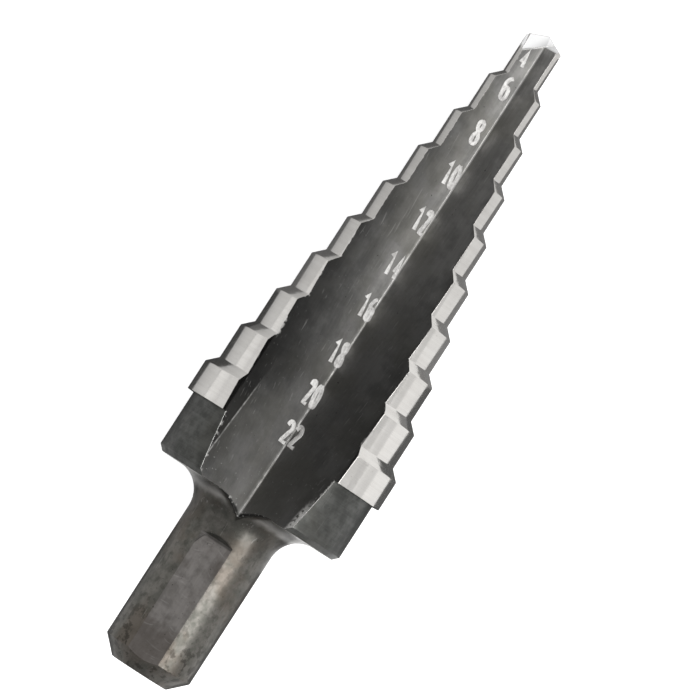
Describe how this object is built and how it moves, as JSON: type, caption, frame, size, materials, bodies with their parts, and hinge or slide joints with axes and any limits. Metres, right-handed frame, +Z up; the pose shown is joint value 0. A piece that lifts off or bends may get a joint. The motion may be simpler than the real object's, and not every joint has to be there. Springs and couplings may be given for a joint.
{
  "type": "step drill",
  "caption": "Step drill bit: a stepped cone with two straight flutes, a thinned point, a collar and a round shank with jaw flats.",
  "frame": {"origin": "centre of the drill's outer box, at the surface that it lies on", "axes": "+X from the shank to the point, +Z up, +Y across; the point lies lower than the shank"},
  "size_m": [0.073, 0.022, 0.0188],
  "materials": {
    "tool_steel": "black oxide in the flutes, on the collar and shank; bare ground steel on the steps"
  },
  "bodies": {
    "root": {"step_drill": "tool_steel"}
  },
  "joints": []
}
